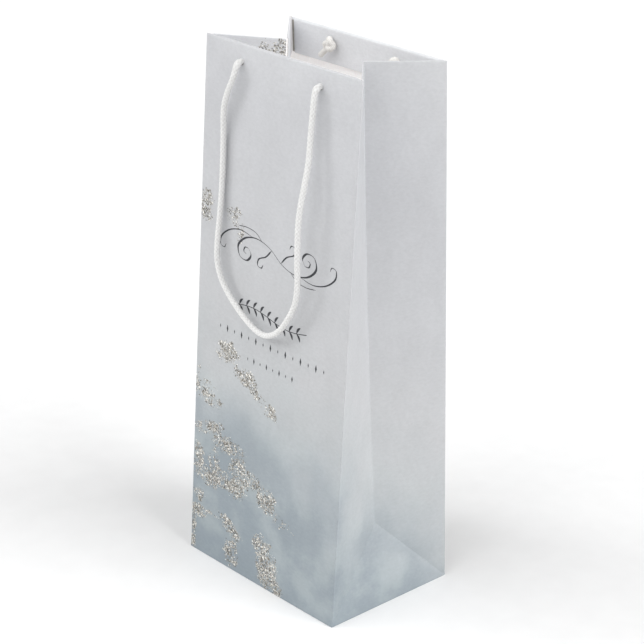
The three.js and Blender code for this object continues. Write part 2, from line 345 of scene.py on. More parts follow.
def printed_paper(name, glitter="none", inside=False):
    """Matt art paper with a watercolour wash, and glitter drifts where they are asked for; inside the
    bag painted light lightens it and makes it glow.
    """
    nodes = Nodes(name)
    where = nodes.position()
    split = nodes.add("ShaderNodeSeparateXYZ", Vector=where)
    x, y, z = (split.outputs[i] for i in range(3))
    colour = wash_colour(nodes, where, (x, y, z))
    # Painted light: the hem's print is lightened where the bag's inside lies in shade
    if inside:
        colour = nodes.dim(colour, PAINTED_INSIDE_LIGHT)
    grain = nodes.noise(where, 700.0, 4.0, 0.7)
    rough = nodes.span(grain, 0.3, 0.7, 0.62, 0.76)
    normal = nodes.bump(grain, 0.4, 0.00009)
    # Gloss, and on the bag's inside a painted glow that stands in for light through the paper
    gloss_and_painted_glow = {
        "Specular_IOR_Level": 0.3,
        "Emission_Color": colour,
        "Emission_Strength": PAINTED_GLOW * 0.4 if inside else 0.0,
    }
    if glitter == "none":
        return nodes.finish(Base_Color=colour, Roughness=rough, Normal=normal, **gloss_and_painted_glow)

    across = {
        "front": x,
        "back": nodes.math("MULTIPLY", x, -1.0),
        "side": nodes.math("ADD", y, HALF_DEPTH),
    }
    shapes = GLITTER_SIDE if glitter == "side" else GLITTER_WALL
    cover = drifts(nodes, across[glitter], z, shapes)
    ragged = nodes.span(nodes.noise(where, 130.0, 5.0, 0.75), 0.36, 0.62, -0.75, 0.55)
    ragged = nodes.math("ADD", cover, ragged)
    pick = nodes.add("ShaderNodeSeparateColor", Color=nodes.cells(where, 1500.0))
    thick = nodes.span(ragged, 0.0, 0.9, 0.0, 0.82, True)
    chance = nodes.math("MULTIPLY", thick, nodes.span(cover, 0.0, 0.25))
    lit = nodes.math("LESS_THAN", pick.outputs[1], chance)
    flake = nodes.ramp(pick.outputs[0], FLAKES)
    facets = nodes.bump(pick.outputs[2], 0.8, 0.0002, normal)
    return nodes.finish(
        Base_Color=nodes.mix(lit, colour, flake),
        Roughness=nodes.math("MULTIPLY_ADD", lit, -0.3, rough),
        Metallic=nodes.math("MULTIPLY", lit, 0.35),
        Normal=facets_or_paper(nodes, lit, normal, facets),
        **gloss_and_painted_glow,
    )


def facets_or_paper(nodes, lit, paper, facets):
    """The surface direction: the paper's own, or the flakes' where the glitter lies."""
    node = nodes.add("ShaderNodeMix", {"data_type": "VECTOR"})
    nodes.feed(node, "0", lit)
    nodes.feed(node, "4", paper)
    nodes.feed(node, "5", facets)
    return node.outputs[1]


def plain_paper():
    """The unprinted side: warm white with a little fibre and clouding, and a painted glow that stands in
    for light through the paper.
    """
    nodes = Nodes("plain_paper")
    where = nodes.position()
    fibre = nodes.noise(nodes.scaled((1, 1, 0.25)), 700.0, 5.0, 0.7)
    cloud = nodes.noise(where, 40.0, 3.0, 0.5)
    tone = nodes.math("MULTIPLY_ADD", cloud, 0.5, nodes.math("MULTIPLY", fibre, 0.5))
    colour = nodes.ramp(tone, [(0.35, rgb(228, 226, 226)), (0.65, rgb(240, 239, 238))])
    return nodes.finish(
        Base_Color=colour,
        Roughness=nodes.span(fibre, 0.3, 0.7, 0.75, 0.88),
        Normal=nodes.bump(fibre, 0.3, 0.00006),
        Specular_IOR_Level=0.25,
        # Painted light: the unprinted side glows with its own colour
        Emission_Color=colour,
        Emission_Strength=PAINTED_GLOW,
    )


def grey_card():
    """Pressed board, grey with flecks and fibres."""
    nodes = Nodes("grey_card")
    where = nodes.position()
    fibre = nodes.noise(nodes.scaled((0.35, 1, 1)), 520.0, 6.0, 0.75)
    fleck = nodes.noise(where, 1400.0, 2.0, 0.5)
    base = nodes.ramp(fibre, [(0.34, rgb(158, 153, 145)), (0.66, rgb(186, 181, 172))])
    spots = nodes.span(fleck, 0.66, 0.72)
    colour = nodes.mix(nodes.math("MULTIPLY", spots, 0.6), base, (*rgb(116, 108, 98), 1))
    return nodes.finish(
        Base_Color=colour,
        Roughness=nodes.span(fibre, 0.3, 0.7, 0.82, 0.95),
        Normal=nodes.bump(fibre, 0.5, 0.00012),
        Specular_IOR_Level=0.2,
    )


def cord_yarn():
    """Off-white cotton: a fine braid over the twisted strands, fuzz and a soft sheen."""
    nodes = Nodes("cord_yarn")
    lay = nodes.add("ShaderNodeUVMap", {"uv_map": "lay"}).outputs["UV"]
    split = nodes.add("ShaderNodeSeparateXYZ", Vector=lay)
    loose = nodes.math("MULTIPLY", nodes.noise(nodes.position(), 420.0, 3.0, 0.6), 6.0)
    ways = []
    for i in range(2):
        turned = nodes.math("MULTIPLY_ADD", split.outputs[i], 2 * math.pi, loose)
        ways.append(nodes.math("COSINE", turned))
    braid = nodes.math("MULTIPLY_ADD", nodes.math("ADD", *ways), 0.25, 0.5)
    fuzz = nodes.noise(nodes.position(), 2600.0, 3.0, 0.7)
    relief = nodes.math("MULTIPLY_ADD", braid, 0.5, nodes.math("MULTIPLY", fuzz, 0.5))
    # The yarn's colour follows the braid's relief: painted shade in its hollows, and the fuzz's own tone
    tones = [(0.15, rgb(206, 205, 203)), (0.5, rgb(220, 220, 219)), (0.85, rgb(232, 232, 231))]
    return finish_yarn(nodes, nodes.ramp(relief, tones), fuzz, nodes.bump(relief, 0.6, 0.00017))


def knot_yarn():
    """The cord's yarn where it is knotted, without its map."""
    nodes = Nodes("knot_yarn")
    where = nodes.position()
    wave = nodes.add(
        "ShaderNodeTexWave",
        {"wave_type": "BANDS", "bands_direction": "DIAGONAL"},
        Vector=where,
        Scale=420.0,
        Distortion=5.0,
        Detail=2.0,
        Detail_Scale=1.2,
    ).outputs["Fac"]
    fuzz = nodes.noise(where, 2600.0, 3.0, 0.7)
    relief = nodes.math("MULTIPLY_ADD", wave, 0.5, nodes.math("MULTIPLY", fuzz, 0.6))
    # The yarn's colour follows the twist's relief: painted shade in its grooves, and the fuzz's own tone
    tones = [(0.15, rgb(208, 204, 198)), (0.5, rgb(228, 226, 222)), (0.9, rgb(240, 239, 236))]
    return finish_yarn(nodes, nodes.ramp(relief, tones), fuzz, nodes.bump(relief, 0.5, 0.00014))


def finish_yarn(nodes, colour, fuzz, normal):
    return nodes.finish(
        Base_Color=colour,
        Roughness=nodes.span(fuzz, 0.3, 0.7, 0.72, 0.9),
        Normal=normal,
        Specular_IOR_Level=0.25,
        Sheen_Weight=0.25,
        Sheen_Roughness=0.5,
    )


def ink():
    """Printed near-black ink with slightly uneven cover."""
    nodes = Nodes("ink")
    cover = nodes.noise(nodes.position(), 900.0, 4.0, 0.7)
    colour = nodes.ramp(cover, [(0.3, rgb(36, 36, 40)), (0.72, rgb(66, 67, 72))])
    rough = nodes.span(cover, 0.3, 0.7, 0.45, 0.65)
    return nodes.finish(Base_Color=colour, Roughness=rough, Specular_IOR_Level=0.35)


MATERIALS = {
    "print_front": printed_paper("print_front", "front"),
    "print_back": printed_paper("print_back", "back"),
    "print_side": printed_paper("print_side", "side"),
    "print": printed_paper("print"),
    # The hem prints carry painted light: they are lightened and glow
    "print_hem": printed_paper("print_hem", inside=True),
    "print_side_hem": printed_paper("print_side_hem", "side", inside=True),
    "plain": plain_paper(),
    "card": grey_card(),
    "cord": cord_yarn(),
    "knot": knot_yarn(),
    "ink": ink(),
}

# ---------- the bag's outline


def half_depth(z):
    """Half the bag's depth, print side to print side, at a height."""
    return HALF_DEPTH - SLOPE * z


def climbed(z):
    """How far up the gusset a height is, 0 at the fold line and 1 at the mouth."""
    return (z - FOLD_HEIGHT) / (HEIGHT - FOLD_HEIGHT)


def crease_x(z):
    """How far from the middle a gusset's crease stands, at a height above the fold line."""
    climb = climbed(z)
    return APEX_X + (MOUTH_CREASE_X - APEX_X) * climb - CREASE_BOW * 4 * climb * (1 - climb)


def corner(z, hand, side):
    return Vector((hand * HALF_WIDTH, side * half_depth(z), z))


def gusset_foot(z, hand, side):
    """Where the paper ends that starts at a corner edge: the crease, or under the fold the diagonal."""
    if z >= FOLD_HEIGHT:
        return Vector((hand * crease_x(z), 0, z - CREASE_DIP * climbed(z)))
    climb = z / FOLD_HEIGHT
    x = HALF_WIDTH + (APEX_X - HALF_WIDTH) * climb
    return Vector((hand * x, side * HALF_DEPTH * (1 - climb), z))


def rounded(vertex, first, second, radius, steps):
    """Points of a fold's round in plan, from the sheet towards first to the one towards second."""
    a = (first - vertex).normalized()
    b = (second - vertex).normalized()
    half = a.angle(b) / 2
    centre = vertex + (a + b).normalized() * (radius / math.sin(half))
    start = vertex + a * (radius / math.tan(half)) - centre
    end = vertex + b * (radius / math.tan(half)) - centre
    sweep = math.pi - 2 * half
    points = []
    for i in range(steps + 1):
        t = i / steps
        weight_a = math.sin((1 - t) * sweep) / math.sin(sweep)
        weight_b = math.sin(t * sweep) / math.sin(sweep)
        points.append(centre + start * weight_a + end * weight_b)
    return points


FOLD_STEPS = 8


def corner_fold(z, hand, side):
    """The rounded corner edge, from the wall to the gusset."""
    vertex = corner(z, hand, side)
    wall = vertex - Vector((hand, 0, 0))
    if z < FOLD_HEIGHT:
        reach = max(z, 0.5 * MM)
        foot = gusset_foot(reach, hand, side)
        foot = vertex + (foot - corner(reach, hand, side))
    else:
        foot = gusset_foot(z, hand, side)
    radius = FOLD_RADIUS * min(1.0, 0.15 + z / (3 * MM))
    return rounded(vertex, wall, foot, radius, FOLD_STEPS)


def crease_fold(z, hand, side):
    """The rounded crease of a gusset, from this half to the other."""
    vertex = gusset_foot(z, hand, side)
    return rounded(vertex, corner(z, hand, side), corner(z, hand, -side), FOLD_RADIUS, FOLD_STEPS)


def tuck(z):
    """How far a wall draws in just above the table, where it turns under into the base."""
    rise = max(0.0, 1 - z / FOLD_RADIUS)
    return FOLD_RADIUS * (1 - math.sqrt(max(0.0, 1 - rise * rise)))


def wall_bow(x, z):
    """How far a wall bellies outwards."""
    share = max(0.0, 1 - (x / (HALF_WIDTH - MM)) ** 2)
    return WALL_BOW * share * math.sin(math.pi * (0.12 + 0.76 * z / HEIGHT))


def wall_point(x, z, side, inside=0.0):
    """A point of a wall's print side, or a distance inside it."""
    outward = half_depth(z) + wall_bow(x, z)
    return Vector((x, side * (outward - inside / math.cos(LEAN)), z))


def steps_between(start, end, count):
    return [start + (end - start) * i / count for i in range(count + 1)]


# ---------- meshes


def link(name, mesh):
    piece = bpy.data.objects.new(name, mesh)
    bpy.context.scene.collection.objects.link(piece)
    return piece


def grid_mesh(name, rows, outward):
    """A sheet from rows of points, its faces turned towards outward."""
    bm = bmesh.new()
    placed = [[bm.verts.new(point) for point in row] for row in rows]
    for below, above in zip(placed, placed[1:]):
        for i in range(len(below) - 1):
            bm.faces.new((below[i], below[i + 1], above[i + 1], above[i]))
    bmesh.ops.remove_doubles(bm, verts=bm.verts, dist=1e-6)
    bmesh.ops.dissolve_degenerate(bm, edges=bm.edges, dist=1e-7)
    bm.normal_update()
    facing = sum((face.normal * face.calc_area() for face in bm.faces), Vector())
    if facing.dot(outward) < 0:
        bmesh.ops.reverse_faces(bm, faces=bm.faces)
    mesh = bpy.data.meshes.new(name)
    bm.to_mesh(mesh)
    bm.free()
    return mesh


def settle(piece):
    """Applies the modifiers, and shades smooth but for the cut edges."""
    graph = bpy.context.evaluated_depsgraph_get()
    mesh = bpy.data.meshes.new_from_object(piece.evaluated_get(graph))
    piece.modifiers.clear()
    piece.data = mesh
    bm = bmesh.new()
    bm.from_mesh(mesh)
    for face in bm.faces:
        face.smooth = True
    for edge in bm.edges:
        edge.smooth = len(edge.link_faces) == 2 and edge.calc_face_angle(0) < math.radians(42)
    bm.to_mesh(mesh)
    bm.free()


def paper_sheet(name, rows, outward, finish, back="plain", thickness=PAPER):
    """A sheet of paper from the rows of its print side, with its other side and its cut edges plain."""
    piece = link(f"{name}_sheet", grid_mesh(f"{name}_sheet", rows, outward))
    piece.data.materials.append(MATERIALS[finish])
    piece.data.materials.append(MATERIALS[back])
    piece.data.materials.append(MATERIALS[back])
    solid = piece.modifiers.new("thickness", "SOLIDIFY")
    solid.thickness = thickness
    solid.offset = -1
    solid.use_even_offset = True
    solid.material_offset = 1
    solid.material_offset_rim = 2
    settle(piece)
    return piece


def punch(piece, side):
    """Cuts the two cord holes through a wall sheet."""
    for hand in (-1, 1):
        bpy.ops.mesh.primitive_cylinder_add(vertices=40, radius=HOLE_RADIUS, depth=14 * MM)
        cutter = bpy.context.object
        turn = wall_normal(side).to_track_quat("Z", "X").to_matrix().to_4x4()
        cutter.matrix_world = Matrix.Translation(hole_centre(hand, side)) @ turn
        cut = piece.modifiers.new("hole", "BOOLEAN")
        cut.operation = "DIFFERENCE"
        cut.solver = "EXACT"
        cut.object = cutter
        bpy.context.view_layer.update()
        settle(piece)
        bpy.data.objects.remove(cutter)


def wall_normal(side):
    """Straight out of a wall."""
    return Vector((0, side * math.cos(LEAN), math.sin(LEAN)))


def wall_down(side):
    """Straight down a wall."""
    return Vector((0, side * math.sin(LEAN), -math.cos(LEAN)))


def hole_centre(hand, side):
    z = HEIGHT - HOLE_DROP * math.cos(LEAN)
    return Vector((hand * HOLE_X[side], side * half_depth(z), z))


# ---------- cords and knots

# The front handle, from one hole to the other, in millimetres: distance from the bag's middle,
# drop below the holes down the wall, distance of the cord's centre from the wall.
CORD_ROUTE = [
    (-32, -0.2, -0.6),
    (-32, -0.2, 0.9),
    (-32, 0.4, 2.4),
    (-32.1, 2.1, 3.9),
    (-32.4, 5, 4.6),
    (-33.6, 9.5, 5),
    (-37.5, 18, 5.1),
    (-40.5, 27, 4.6),
    (-42, 43, 3),
    (-42, 60, 2.8),
    (-42.2, 76, 2.8),
    (-42.4, 93, 3.6),
    (-42.5, 108, 4.5),
    (-41.3, 117, 5),
    (-38, 125, 5),
    (-32.5, 132, 4.8),
    (-25, 138, 4.8),
    (-15.5, 143.8, 5),
    (-4.5, 148, 5.3),
    (4, 147.8, 5.7),
    (13.5, 142.5, 6.3),
    (22.5, 131.5, 7),
    (28, 121, 7.6),
    (29.9, 111, 8.2),
    (30.2, 95.5, 9.4),
    (30.6, 75, 10.3),
    (31.6, 63, 10),
    (32.5, 53, 9),
    (32.9, 40, 7.2),
    (32.4, 25, 6),
    (32.4, 10, 5.2),
    (32.2, 5, 4.7),
    (32.1, 2.1, 3.9),
    (32, 0.4, 2.4),
    (32, -0.2, 0.9),
    (32, -0.2, -0.6),
]
TWIST_PITCH = 8.5 * MM
STRANDS = 3
BRAID_PITCH = 2.4 * MM
BRAID_COUNT = 5


def on_wall(x, drop, away, side):
    """A point beside a wall, from its place in the wall's own directions, in millimetres."""
    base = hole_centre(1, side)
    base.x = x * MM * -side * HOLE_X[side] / HOLE_X[-1]
    return base + wall_down(side) * (drop * MM) + wall_normal(side) * (away * MM)


def smooth_path(points, spacing):
    """Evenly spaced points of a centripetal curve through the given ones."""
    padded = [points[0] * 2 - points[1], *points, points[-1] * 2 - points[-2]]
    dense = []
    for a, b, c, d in zip(padded, padded[1:], padded[2:], padded[3:]):
        t1 = (b - a).length ** 0.5
        t2 = t1 + (c - b).length ** 0.5
        t3 = t2 + (d - c).length ** 0.5
        for i in range(24):
            t = t1 + (t2 - t1) * i / 24
            ab = a * ((t1 - t) / t1) + b * (t / t1)
            bc = b * ((t2 - t) / (t2 - t1)) + c * ((t - t1) / (t2 - t1))
            cd = c * ((t3 - t) / (t3 - t2)) + d * ((t - t2) / (t3 - t2))
            abc = ab * ((t2 - t) / t2) + bc * (t / t2)
            bcd = bc * ((t3 - t) / (t3 - t1)) + cd * ((t - t1) / (t3 - t1))
            dense.append(abc * ((t2 - t) / (t2 - t1)) + bcd * ((t - t1) / (t2 - t1)))
    dense.append(points[-1])
    length = sum((q - p).length for p, q in zip(dense, dense[1:]))
    count = max(2, round(length / spacing))
    path = [dense[0]]
    walked = 0.0
    for p, q in zip(dense, dense[1:]):
        stretch = (q - p).length
        while len(path) < count and walked + stretch >= len(path) * length / count:
            path.append(p.lerp(q, (len(path) * length / count - walked) / stretch))
        walked += stretch
    path.append(dense[-1])
    return path, length


def rope_mesh(name, path, radius, sides=30, swelling=0.0):
    """A tube of twisted strands along a path, with rounded ends and the map that its yarns follow.

    It may swell where it is pinched by its holes, a little way from its ends."""
    bm = bmesh.new()
    lay = bm.loops.layers.uv.new("lay")
    ahead = path[1:] + path[-1:]
    behind = path[:1] + path[:-1]
    tangents = [(q - p).normalized() for p, q in zip(behind, ahead)]
    across = tangents[0].orthogonal().normalized()
    rings = []
    walked = 0.0
    length = sum((q - p).length for p, q in zip(path, path[1:]))
    for i, (point, tangent) in enumerate(zip(path, tangents)):
        across = (across - tangent * across.dot(tangent)).normalized()
        upward = tangent.cross(across)
        walked += (point - path[i - 1]).length if i else 0.0
        ring = []
        from_end = min(walked, length - walked)
        pinched = 1 + swelling * math.exp(-(((from_end - 4 * MM) / (1.6 * MM)) ** 2))
        for k in range(sides):
            turn = 2 * math.pi * k / sides
            groove = abs(math.cos(STRANDS / 2 * (turn - 2 * math.pi * walked / TWIST_PITCH)))
            swell = radius * pinched * (0.87 + 0.13 * groove**0.7)
            outward = across * math.cos(turn) + upward * math.sin(turn)
            ring.append(bm.verts.new(point + outward * swell))
        rings.append((ring, walked))
    for (below, low), (above, high) in zip(rings, rings[1:]):
        for k in range(sides):
            nxt = (k + 1) % sides
            face = bm.faces.new((below[k], below[nxt], above[nxt], above[k]))
            face.smooth = True
            for loop, (turn, way) in zip(face.loops, ((k, low), (k + 1, low), (k + 1, high), (k, high))):
                round_it = turn / sides * BRAID_COUNT
                loop[lay].uv = (round_it + way / BRAID_PITCH, round_it - way / BRAID_PITCH)
    for (ring, _), tangent, sign in ((rings[0], tangents[0], -1), (rings[-1], tangents[-1], 1)):
        tip = sum((v.co for v in ring), Vector()) / sides + tangent * (sign * radius * 0.7)
        cap = bm.verts.new(tip)
        middle = []
        for v in ring:
            inner = v.co.lerp(tip, 0.45) + tangent * (sign * radius * 0.22)
            middle.append(bm.verts.new(inner))
        for k in range(sides):
            nxt = (k + 1) % sides
            strip = (ring[k], ring[nxt], middle[nxt], middle[k])
            for corners in (strip, (middle[k], middle[nxt], cap)):
                face = bm.faces.new(corners)
                face.smooth = True
                for loop in face.loops:
                    loop[lay].uv = (loop.vert.co.x * 1500, loop.vert.co.z * 1500)
    bmesh.ops.recalc_face_normals(bm, faces=bm.faces)
    mesh = bpy.data.meshes.new(name)
    bm.to_mesh(mesh)
    bm.free()
    return mesh


def add_knot(name, wall, hand, side):
    """An overhand knot drawn tight against the hem, its tail and the cord's stretch through the hole."""
    inward = -wall_normal(side)
    down = wall_down(side)
    right = Vector((1, 0, 0))
    aside = right * (KNOT_ASIDE if side > 0 else -KNOT_ASIDE * hand)
    seat = hole_centre(hand, side) + aside + inward * (WALL_HEM + KNOT_SEAT) - down * KNOT_LIFT[hand]

    def place(outward, drop, deep):
        return seat + right * (hand * outward * MM) + down * (drop * MM) + inward * (deep * MM)

    loops = []
    for i in range(73):
        t = 2 * math.pi * i / 72
        x = 0.86 * (math.sin(t) + 2 * math.sin(2 * t))
        z = 0.98 * (math.cos(t) - 2 * math.cos(2 * t))
        loops.append(place(x, z, math.sin(3 * t)))
    through = [hole_centre(hand, side) + inward * (d * MM) for d in (0.6, 1.6, 3, 4.5, 6)]
    tail = [place(0.5, 1.0, 0.2), place(2.6, 3.6, 0.7), place(4.6, 5.6, 1.1), place(6.2, 7.1, 1.3)]
    parts = []
    courses = (("loop", loops, 1.14), ("through", through, 0.97), ("tail", tail, 0.97))
    for label, points, swell in courses:
        path = smooth_path(points, 0.45 * MM)[0]
        parts.append(link(f"{name}_{label}", rope_mesh(name, path, CORD / 2 * swell, 20)))
    knot = parts[0]
    with bpy.context.temp_override(active_object=knot, selected_editable_objects=parts):
        bpy.ops.object.join()
    remesh = knot.modifiers.new("fuse", "REMESH")
    remesh.mode = "VOXEL"
    remesh.voxel_size = 0.24 * MM
    smooth = knot.modifiers.new("soften", "SMOOTH")
    smooth.iterations = 2
    smooth.factor = 0.4
    settle(knot)
    knot.name = f"{name}_tied"
    knot.data.materials.clear()
    knot.data.materials.append(MATERIALS["knot"])
    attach(knot, f"{wall}_wall")
    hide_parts(name)
    return knot


def add_handle(wall, side):
    path, length = smooth_path([on_wall(*point, side) for point in CORD_ROUTE], 0.5 * MM)
    name = f"{wall}_handle_rope"
    cord = link(name, rope_mesh(name, path, CORD / 2, swelling=0.2))
    cord.data.materials.append(MATERIALS["cord"])
    knots = [add_knot(f"{wall}_knot_{label}", wall, hand * -side, side) for label, hand in HANDS.items()]
    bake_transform(cord)
    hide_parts(f"{wall}_handle_cord")


# ---------- walls


def wall_row(z, side, tucked=0.0):
    """One level of a wall, from the middle of one rounded corner edge to the other."""
    half = FOLD_STEPS // 2
    left = corner_fold(z, -1, side)[half::-1]
    right = corner_fold(z, 1, side)[: half + 1]
    reach = abs(right[0].x) - 0.02 * MM
    middle = [wall_point(x, z, side) for x in steps_between(-reach, reach, 56)[1:-1]]
    row = left + middle + right
    return [p - Vector((0, side * tucked, 0)) for p in row]


def fold_over(x):
    """The thickness of the turned-in hem at a distance from the middle: it hugs the card strip's end."""
    past = min(1.0, max(0.0, (HEM_CARD_REACH + 1.5 * MM - abs(x)) / (4 * MM)))
    return GUSSET_HEM + (WALL_HEM - GUSSET_HEM) * past * past * (3 - 2 * past)


def top_arc(share):
    """The height below the top and the distance inside, in hem thicknesses, along a rounded top.

    Share 0 is its outside, 0.5 its ridge and 1 its inside."""
    angle = math.pi * share
    return (1 - math.sin(angle)) / 2, (1 - math.cos(angle)) / 2


def add_wall(wall, side):
    body = f"{wall}_wall"
    levels = steps_between(0, FOLD_RADIUS, 4) + steps_between(1 * MM, FOLD_HEIGHT, 14)
    rows = [wall_row(z, side, tucked=tuck(z)) for z in levels]
    outward = Vector((0, side, 0))
    finish = f"print_{wall}"
    band = paper_sheet(f"{wall}_lower_band", rows, outward, finish)
    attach(band, "base")
    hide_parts(f"{wall}_lower_band")

    shoulder = HEIGHT - WALL_HEM / 2
    rows = [wall_row(z, side) for z in steps_between(FOLD_HEIGHT, shoulder, 70)]
    rows += fold_rows(side, steps_between(0, 0.5, 6)[1:], shoulder)
    panel = paper_sheet(f"{wall}_panel", rows, outward, finish)
    punch(panel, side)
    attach(panel, body)
    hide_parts(f"{wall}_panel")

    reach = HALF_WIDTH - 2.6 * MM
    columns = steps_between(-reach, reach, 60)
    rows = []
    for share in steps_between(0.5, 1, 6):
        rows.append([hem_point(x, share, side) for x in columns])
    bottom = HEIGHT - HEM_HEIGHT
    for z in steps_between(HEIGHT - WALL_HEM / 2, bottom, 16)[1:]:
        rows.append([wall_point(x, z, side, fold_over(x)) for x in columns])
    hem = paper_sheet(f"{wall}_hem", rows, -outward, "print_hem")
    punch(hem, side)
    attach(hem, body)
    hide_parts(f"{wall}_hem")

    reach = HEM_CARD_REACH
    columns = steps_between(-reach, reach, 40)
    gap = 0.1 * MM
    thickness = WALL_HEM - 2 * PAPER - 2 * gap
    levels = steps_between(bottom + 0.6 * MM, HEIGHT - 1.3 * MM, 8)
    rows = [[wall_point(x, z, side, PAPER + gap) for x in columns] for z in levels]
    card = paper_sheet(f"{wall}_hem_card", rows, outward, "card", "card", thickness)
    punch(card, side)
    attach(card, body)
    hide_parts(f"{wall}_hem_card")


def hem_point(x, share, side):
    """A point of the rounded top of a wall."""
    thick = fold_over(x)
    drop, inside = top_arc(share)
    z = HEIGHT - thick * drop
    return wall_point(x, z, side, thick * inside)


def fold_rows(side, shares, shoulder):
    """The rows of a wall's sheet over its rounded top, up to the ridge."""
    base = wall_row(shoulder, side)
    rows = []
    for share in shares:
        row = []
        for point in base:
            thick = fold_over(point.x)
            drop, inside = top_arc(share)
            start = HEIGHT - thick / 2
            z = start + thick / 2 * (1 - 2 * drop)
            flat = point + Vector((0, side * (half_depth(z) - half_depth(shoulder)), z - shoulder))
            row.append(flat - Vector((0, side * thick * inside, 0)))
        rows.append(row)
    return rows


# ---------- gussets


def gusset_row(z, hand, side):
    """One level of a gusset half, from the middle of the corner edge to the middle of the crease."""
    half = FOLD_STEPS // 2
    first = corner_fold(z, hand, side)[half:]
    last = crease_fold(z, hand, side)[: half + 1]
    flat = [first[-1].lerp(last[0], t) for t in steps_between(0, 1, 26)[1:-1]]
    return first + flat + last


def gusset_inward(z, hand, side):
    """Into the bag from a gusset half, level."""
    along = gusset_foot(z, hand, side) - corner(z, hand, side)
    inward = along.cross(Vector((0, 0, 1))).normalized()
    return inward if inward.x * hand < 0 else -inward


def facing(hand, side):
    return Vector((hand, -side * 0.5, 0))


def bend_with_crease(piece):
    """Bakes a gusset half's placement into its mesh."""
    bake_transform(piece)


def add_gusset(hand_name, hand, wall, side):
    finish = "print_side" if hand < 0 else "print"
    outward = facing(hand, side)
    shoulder = HEIGHT - GUSSET_HEM / 2
    rows = [gusset_row(z, hand, side) for z in steps_between(FOLD_HEIGHT, shoulder, 80)]
    top = rows[-1]
    inward = gusset_inward(HEIGHT, hand, side)

    def top_row(share):
        drop, inside = top_arc(share)
        lift = Vector((0, 0, GUSSET_HEM / 2 * (1 - 2 * drop)))
        return [p + lift + inward * (GUSSET_HEM * inside) for p in top]

    rows += [top_row(share) for share in steps_between(0, 0.5, 5)[1:]]
    sheet = paper_sheet(f"{hand_name}_gusset_{wall}", rows, outward, finish)
    bend_with_crease(sheet)
    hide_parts(f"{hand_name}_gusset_{wall}")

    rows = [top_row(share) for share in steps_between(0.5, 1, 5)]
    for z in steps_between(shoulder, HEIGHT - HEM_HEIGHT, 14)[1:]:
        level = gusset_inward(z, hand, side)
        rows.append([p + level * GUSSET_HEM for p in gusset_row(z, hand, side)])
    skip = FOLD_STEPS // 2 + 2
    rows = [row[skip:] for row in rows]
    hem = paper_sheet(f"{hand_name}_gusset_hem_{wall}", rows, -outward, f"{finish}_hem")
    bend_with_crease(hem)
    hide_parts(f"{hand_name}_gusset_hem_{wall}")


# Each corner facet's paper goes on up behind the gusset half: inset and rise, in millimetres
FACET_TUCK = [(0.75, 0.02), (1.6, 2.6)]


def add_foot(hand_name, hand):
    """The base triangle of a gusset and the facets between its diagonals and the corner edges."""
    rows = []
    for z in steps_between(0, FOLD_RADIUS, 3) + steps_between(1 * MM, FOLD_HEIGHT, 24):
        start = gusset_foot(z, hand, -1)
        end = gusset_foot(z, hand, 1)
        drawn_in = Vector((-hand * tuck(z), 0, 0))
        rows.append([start.lerp(end, t) + drawn_in for t in steps_between(0, 1, 30)])
    finish = "print_side" if hand < 0 else "print"
    triangle = paper_sheet(f"{hand_name}_base_triangle", rows, Vector((hand, 0, 0)), finish)
    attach(triangle, "base")
    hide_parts(f"{hand_name}_base_triangle")
    half = FOLD_STEPS // 2
    for wall, side in SIDES.items():
        rows = []
        for z in steps_between(0.25 * MM, FOLD_HEIGHT, 24):
            first = corner_fold(z, hand, side)[half:]
            last = gusset_foot(z, hand, side)
            rows.append(first + [first[-1].lerp(last, t) for t in steps_between(0, 1, 14)[1:]])
        inward = gusset_inward(FOLD_HEIGHT, hand, side)
        fold = rows[-1]
        for inset, lift in FACET_TUCK:
            shift = inward * (inset * MM) + Vector((0, 0, lift * MM))
            rows.append([p.lerp(fold[-1], 0.12) + shift for p in fold])
        facet = paper_sheet(f"{hand_name}_{wall}_corner_facet", rows, facing(hand, side), finish)
        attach(facet, "base")
        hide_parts(f"{hand_name}_{wall}_corner_facet")


# ---------- base


def flap_rows(low, high, reach, mitre, level):
    """Rows of a mitred flap, from its fold at y low to its free end at y high."""
    rows = []
    for t in steps_between(0, 1, 24):
        y = low + (high - low) * t
        width = reach - mitre * t
        rows.append([Vector((x, y, level(y))) for x in steps_between(-width, width, 24)])
    return rows


def add_base():
    reach = HALF_WIDTH - 0.5 * MM
    edge = HALF_DEPTH - FOLD_RADIUS
    back_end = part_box("base_back_flap")[0].y
    front_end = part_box("base_front_flap")[1].y
    mitre = 22 * MM

    def over(y):
        """The front flap lies on the table, then climbs over the back flap's end."""
        t = min(1.0, max(0.0, (y - back_end + 5 * MM) / (5 * MM)))
        return (PAPER + 0.1 * MM) * t * t * (3 - 2 * t)

    for name, rows in (
        ("base_back_flap", flap_rows(edge, back_end, reach, mitre, lambda y: 0.0)),
        ("base_front_flap", flap_rows(-edge, front_end, reach, mitre, over)),
    ):
        flap = paper_sheet(name, rows, Vector((0, 0, -1)), "print")
        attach(flap, "base")
        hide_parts(name)
    for hand_name, hand in HANDS.items():
        low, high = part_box(f"base_{hand_name}_flap")
        inner = min(abs(low.x), abs(high.x))
        rows = []
        for t in steps_between(0, 1, 20):
            x = reach + (inner - reach) * t
            width = edge - 0.5 * MM - (edge - 6 * MM) * t
            depths = steps_between(-width, width, 20)
            rows.append([Vector((hand * x, y, 2 * PAPER + 0.2 * MM)) for y in depths])
        flap = paper_sheet(f"base_{hand_name}_flap", rows, Vector((0, 0, -1)), "print")
        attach(flap, "base")
        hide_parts(f"base_{hand_name}_flap")
    add_base_card()


